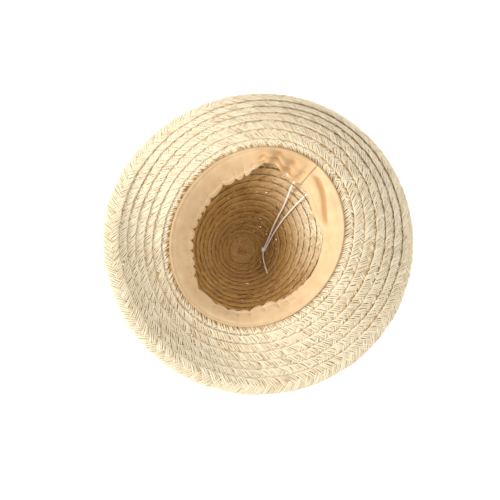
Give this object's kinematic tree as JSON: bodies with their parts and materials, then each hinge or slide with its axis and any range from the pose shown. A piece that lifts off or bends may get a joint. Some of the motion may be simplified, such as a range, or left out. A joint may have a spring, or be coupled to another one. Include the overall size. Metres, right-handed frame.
{
  "type": "straw sun hat",
  "caption": "Wide-brimmed straw sun hat with a conical crown of lapped plaited rows, a gathered cloth sweatband and a knotted drawstring, resting on its crown.",
  "frame": {"origin": "centre of the flat tip of the crown, which the hat stands on", "axes": "+Z out of the mouth along the hat's axis, -Y towards the front of the hat, +Y towards the back seam"},
  "size_m": [0.3093, 0.3273, 0.1481],
  "materials": {
    "straw": "plaited natural straw, matt with a slight sheen",
    "sweatband_cloth": "smooth tan cotton cloth, matt",
    "thread": "cream sewing thread",
    "cord": "cream cotton cord"
  },
  "bodies": {
    "hat": {"crown_button": "straw", "crown_row_02": "straw", "crown_row_03": "straw", "crown_row_04": "straw", "crown_row_05": "straw", "crown_row_06": "straw", "crown_row_07": "straw", "crown_row_08": "straw", "crown_row_09": "straw", "crown_row_10": "straw", "crown_row_11": "straw", "crown_row_12": "straw", "crown_row_13": "straw", "crown_row_14": "straw", "crown_row_15": "straw", "brim_row_1": "straw", "brim_row_2": "straw", "brim_row_3": "straw", "brim_row_4": "straw", "brim_row_5": "straw", "brim_row_6": "straw", "brim_row_7": "straw", "sweatband": "sweatband_cloth", "sweatband_thread": "thread", "drawstring_in_casing": "cord"},
    "drawstring": {"drawstring_left_leg": "cord", "drawstring_right_leg": "cord", "drawstring_knot": "cord", "drawstring_tail": "cord"}
  },
  "joints": [
    {"name": "drawstring_lift", "type": "hinge", "parent": "hat", "child": "drawstring", "pos_m": [0.0051, 0.068, 0.0958], "axis": [-0.9947, 0.1027, 0.0035], "range_deg": [0, 120]}
  ]
}
